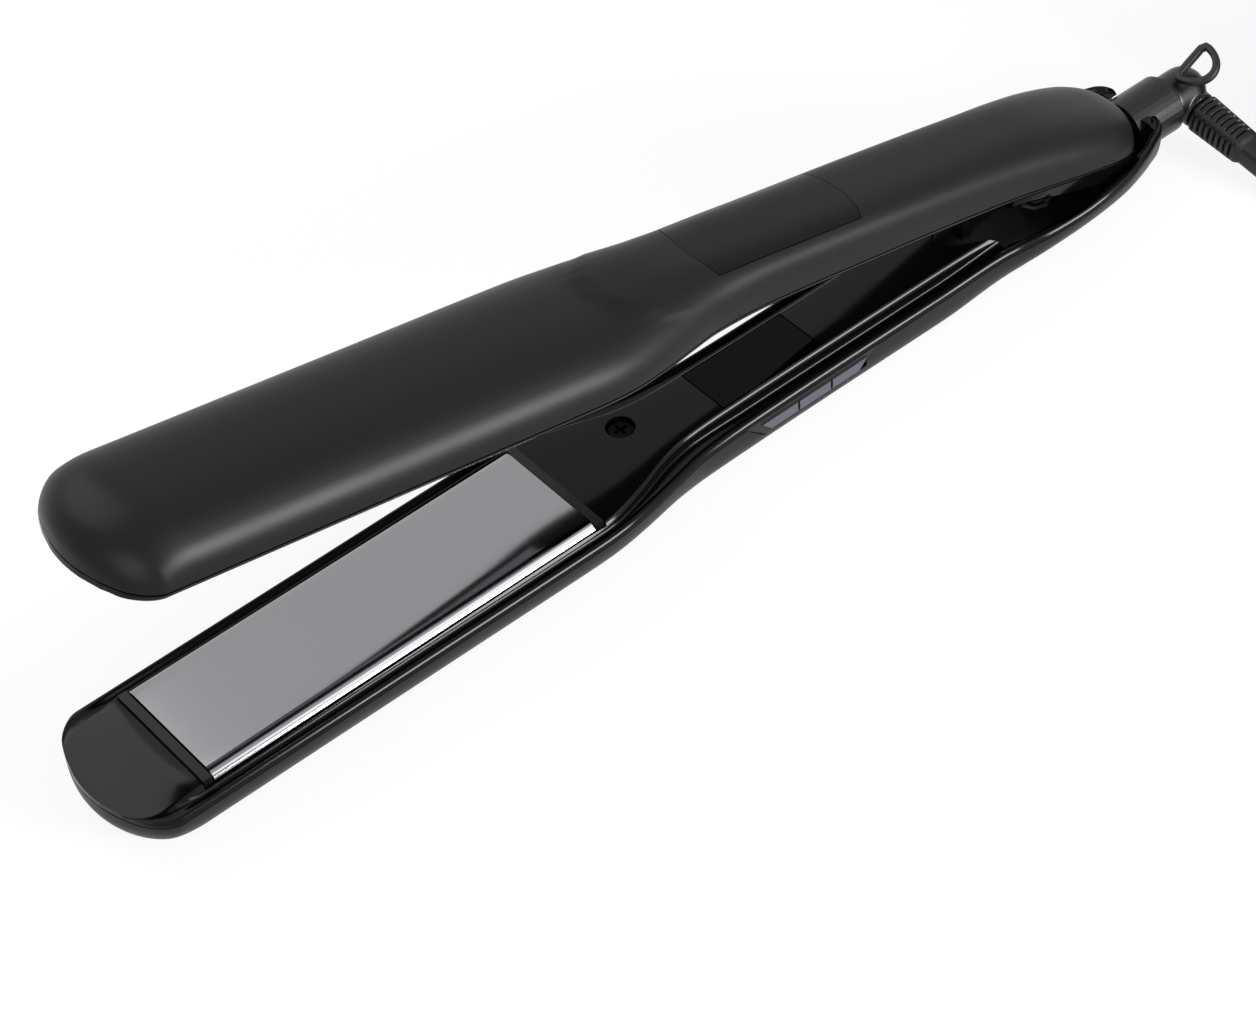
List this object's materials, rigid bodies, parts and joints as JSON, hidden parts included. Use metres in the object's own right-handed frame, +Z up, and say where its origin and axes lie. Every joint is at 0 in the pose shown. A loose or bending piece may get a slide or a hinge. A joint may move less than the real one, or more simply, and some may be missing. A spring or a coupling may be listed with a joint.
{
  "type": "hair straightener",
  "caption": "Hair straightener lying open: plated arms on a sprung hinge, floating plates, side keys, display window, swivelling cord end and a cord folded into a tied hank with a plug.",
  "frame": {"origin": "middle of the flat strip under the lower arm on which the straightener lies, 0.4 of that arm's length behind its tip", "axes": "+X from the plates' tips to the cord end, +Z up from the surface it lies on, -Y the side with the keys"},
  "size_m": [0.3787, 0.0731, 0.0753],
  "materials": {
    "shell": "soft-touch matt black",
    "liner": "gloss black",
    "trim": "satin black",
    "plate": "glossy dark grey ceramic coating on aluminium",
    "window": "black gloss lens",
    "key": "satin bluish grey",
    "inner_plastic": "moulded black",
    "ceramic": "off-white ceramic heater",
    "silicone": "red silicone",
    "board": "green circuit board",
    "steel": "plain",
    "brass": "plain",
    "cord_rubber": "matt black",
    "lead": "red insulated lead"
  },
  "bodies": {
    "lower_arm": {"lower_shell": "shell", "lower_liner": "liner", "lower_front_pad": "silicone", "lower_rear_pad": "silicone", "lower_liner_screw": "steel", "display_window": "window", "display_module": "inner_plastic", "control_board": "board", "key_bezel": "trim", "key_mat": "silicone", "key_board": "board", "lower_lead": "lead", "return_spring": "steel", "near_hinge_pin": "steel", "far_hinge_pin": "steel", "swivel_collar": "trim", "swivel_socket": "inner_plastic"},
    "upper_arm": {"upper_shell": "shell", "upper_liner": "liner", "upper_front_pad": "silicone", "upper_rear_pad": "silicone", "upper_inlay": "trim", "upper_liner_screw": "steel", "thermal_fuse": "steel", "upper_lead": "lead", "near_hinge_bush": "brass", "far_hinge_bush": "brass"},
    "lower_plate_unit": {"lower_plate": "plate", "lower_plate_carrier": "inner_plastic", "lower_heater": "ceramic", "lower_temperature_sensor": "steel"},
    "upper_plate_unit": {"upper_plate": "plate", "upper_plate_carrier": "inner_plastic", "upper_heater": "ceramic", "upper_temperature_sensor": "steel"},
    "swivel": {"swivel_contact": "brass", "swivel_elbow": "trim", "cord_relief": "cord_rubber", "hanging_loop": "cord_rubber", "cord": "cord_rubber", "cord_hank": "cord_rubber", "cord_tail": "cord_rubber", "cord_tie": "cord_rubber", "plug_body": "cord_rubber", "plug_blade_left": "steel", "plug_blade_right": "steel"},
    "front_key_cap": {"front_key": "key"},
    "middle_key_cap": {"middle_key": "key"},
    "rear_key_cap": {"rear_key": "key"}
  },
  "joints": [
    {"name": "arm_hinge", "type": "hinge", "parent": "lower_arm", "child": "upper_arm", "pos_m": [0.14858, 0, 0.00995], "axis": [0, -1, 0], "range_deg": [0, 11.6], "stiffness_Nm_per_rad": 1, "springref_deg": -20.05, "deforming": ["return_spring"]},
    {"name": "lower_plate_float", "type": "slide", "parent": "lower_arm", "child": "lower_plate_unit", "axis": [0, 0, -1], "range_m": [0, 0.0008], "stiffness_N_per_m": 4000, "springref_m": -0.0005, "deforming": ["lower_front_pad", "lower_rear_pad"]},
    {"name": "upper_plate_float", "type": "slide", "parent": "upper_arm", "child": "upper_plate_unit", "axis": [0.2011, 0, 0.9796], "range_m": [0, 0.0008], "stiffness_N_per_m": 4000, "springref_m": -0.0005, "deforming": ["upper_front_pad", "upper_rear_pad"]},
    {"name": "front_key_press", "type": "slide", "parent": "lower_arm", "child": "front_key_cap", "axis": [0, 1, 0], "range_m": [0, 0.0005], "stiffness_N_per_m": 600, "springref_m": -0.0005},
    {"name": "middle_key_press", "type": "slide", "parent": "lower_arm", "child": "middle_key_cap", "axis": [0, 1, 0], "range_m": [0, 0.0005], "stiffness_N_per_m": 600, "springref_m": -0.0005},
    {"name": "rear_key_press", "type": "slide", "parent": "lower_arm", "child": "rear_key_cap", "axis": [0, 1, 0], "range_m": [0, 0.0005], "stiffness_N_per_m": 600, "springref_m": -0.0005},
    {"name": "cord_swivel", "type": "hinge", "parent": "lower_arm", "child": "swivel", "pos_m": [0.16808, 0, 0.01045], "axis": [1, 0, 0], "continuous": true}
  ]
}
